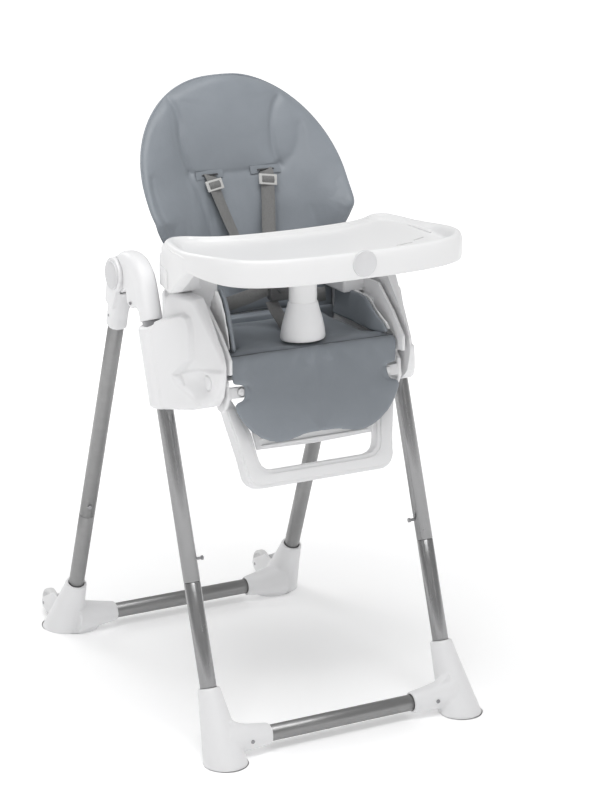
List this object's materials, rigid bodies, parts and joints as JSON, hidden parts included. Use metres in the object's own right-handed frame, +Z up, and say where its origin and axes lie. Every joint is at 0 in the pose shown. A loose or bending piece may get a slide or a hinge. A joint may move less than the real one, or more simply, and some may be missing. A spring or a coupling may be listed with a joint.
{
  "type": "high chair",
  "caption": "Folding baby high chair: grey padded seat and reclining back, white tray and footrest, height-adjustable seat on A-frame tube legs with rear wheels.",
  "frame": {"origin": "on the floor, under the middle of the chair's bounding box", "axes": "+Z up, -Y the way the child faces (the tray side), +X to the right of someone looking at the chair from the front"},
  "size_m": [0.5342, 0.83, 1.056],
  "materials": {
    "white_plastic": "semi-gloss moulded",
    "tray_plastic": "gloss moulded",
    "leatherette": "fine-grain wipeable leatherette",
    "webbing": "woven webbing",
    "clip_plastic": "satin moulded",
    "satin_tube": "satin metallic grey",
    "steel_pin": "plain",
    "badge_grey": "blank satin disc",
    "wheel_grey": "moulded soft plastic"
  },
  "bodies": {
    "front_frame": {"front_leg_upper_left": "satin_tube", "front_leg_upper_right": "satin_tube", "front_leg_lower_left": "satin_tube", "front_leg_lower_right": "satin_tube", "front_foot_left": "white_plastic", "front_foot_right": "white_plastic", "front_crossbar": "satin_tube", "hinge_housing_left": "white_plastic", "hinge_housing_right": "white_plastic", "hinge_pin_left": "steel_pin", "hinge_pin_right": "steel_pin", "height_stop_pin_left": "steel_pin", "height_stop_pin_right": "steel_pin"},
    "rear_frame": {"rear_leg_upper_left": "satin_tube", "rear_leg_upper_right": "satin_tube", "rear_leg_lower_left": "satin_tube", "rear_leg_lower_right": "satin_tube", "rear_foot_left": "white_plastic", "rear_foot_right": "white_plastic", "rear_crossbar": "satin_tube", "hinge_socket_left": "white_plastic", "hinge_socket_right": "white_plastic", "hinge_cap_left": "badge_grey", "hinge_cap_right": "badge_grey", "wheel_axle_left": "steel_pin", "wheel_axle_right": "steel_pin"},
    "wheel_left": {"wheel_left": "wheel_grey"},
    "wheel_right": {"wheel_right": "wheel_grey"},
    "seat": {"seat_shell": "white_plastic", "slide_housing_left": "white_plastic", "slide_housing_right": "white_plastic", "armrest_left": "white_plastic", "armrest_right": "white_plastic", "seat_cushion": "leatherette", "side_pad_left": "leatherette", "side_pad_right": "leatherette", "lap_strap_left": "webbing", "lap_strap_right": "webbing", "crotch_strap": "webbing", "harness_buckle": "clip_plastic"},
    "height_button_left": {"height_button_left": "white_plastic"},
    "height_button_right": {"height_button_right": "white_plastic"},
    "backrest": {"backrest_shell": "white_plastic", "backrest_cushion": "leatherette", "shoulder_strap_left": "webbing", "shoulder_strap_right": "webbing", "strap_adjuster_left": "clip_plastic", "strap_adjuster_right": "clip_plastic"},
    "recline_handle": {"recline_handle": "white_plastic"},
    "footrest": {"footrest_frame": "white_plastic", "calf_panel": "white_plastic", "calf_cushion": "leatherette"},
    "footrest_button_left": {"footrest_button_left": "white_plastic"},
    "footrest_button_right": {"footrest_button_right": "white_plastic"},
    "tray": {"tray": "tray_plastic", "crotch_post": "white_plastic", "tray_badge": "badge_grey"},
    "tray_release": {"tray_release": "white_plastic"}
  },
  "joints": [
    {"name": "rear_fold", "type": "hinge", "parent": "front_frame", "child": "rear_frame", "pos_m": [0, 0.01625, 0.747], "axis": [-1, 0, 0], "range_deg": [0, 38]},
    {"name": "wheel_spin_left", "type": "hinge", "parent": "rear_frame", "child": "wheel_left", "pos_m": [-0.224, 0.389, 0.0267], "axis": [1, 0, 0], "continuous": true},
    {"name": "wheel_spin_right", "type": "hinge", "parent": "rear_frame", "child": "wheel_right", "pos_m": [0.224, 0.389, 0.0267], "axis": [1, 0, 0], "continuous": true},
    {"name": "seat_height", "type": "slide", "parent": "front_frame", "child": "seat", "axis": [0, -0.328, -0.9447], "range_m": [0, 0.235]},
    {"name": "height_release_left", "type": "slide", "parent": "seat", "child": "height_button_left", "axis": [1, 0, 0], "range_m": [0, 0.004], "stiffness_N_per_m": 600, "springref_m": -0.002},
    {"name": "height_release_right", "type": "slide", "parent": "seat", "child": "height_button_right", "axis": [-1, 0, 0], "range_m": [0, 0.004], "stiffness_N_per_m": 600, "springref_m": -0.002},
    {"name": "recline", "type": "hinge", "parent": "seat", "child": "backrest", "pos_m": [0, 0, 0.635], "axis": [-1, 0, 0], "range_deg": [0, 40]},
    {"name": "recline_release", "type": "slide", "parent": "backrest", "child": "recline_handle", "axis": [0, 0.2873, 0.9578], "range_m": [0, 0.012], "stiffness_N_per_m": 400, "springref_m": -0.003},
    {"name": "footrest_tilt", "type": "hinge", "parent": "seat", "child": "footrest", "pos_m": [0, -0.205, 0.632], "axis": [-1, 0, 0], "range_deg": [0, 60]},
    {"name": "footrest_release_left", "type": "slide", "parent": "footrest", "child": "footrest_button_left", "axis": [0, 0.9563, -0.2924], "range_m": [0, 0.003], "stiffness_N_per_m": 500, "springref_m": -0.002},
    {"name": "footrest_release_right", "type": "slide", "parent": "footrest", "child": "footrest_button_right", "axis": [0, 0.9563, -0.2924], "range_m": [0, 0.003], "stiffness_N_per_m": 500, "springref_m": -0.002},
    {"name": "tray_slide", "type": "slide", "parent": "seat", "child": "tray", "axis": [0, -1, 0], "range_m": [0, 0.08]},
    {"name": "tray_unlock", "type": "slide", "parent": "tray", "child": "tray_release", "axis": [0, 1, 0], "range_m": [0, 0.008], "stiffness_N_per_m": 500, "springref_m": -0.003}
  ]
}
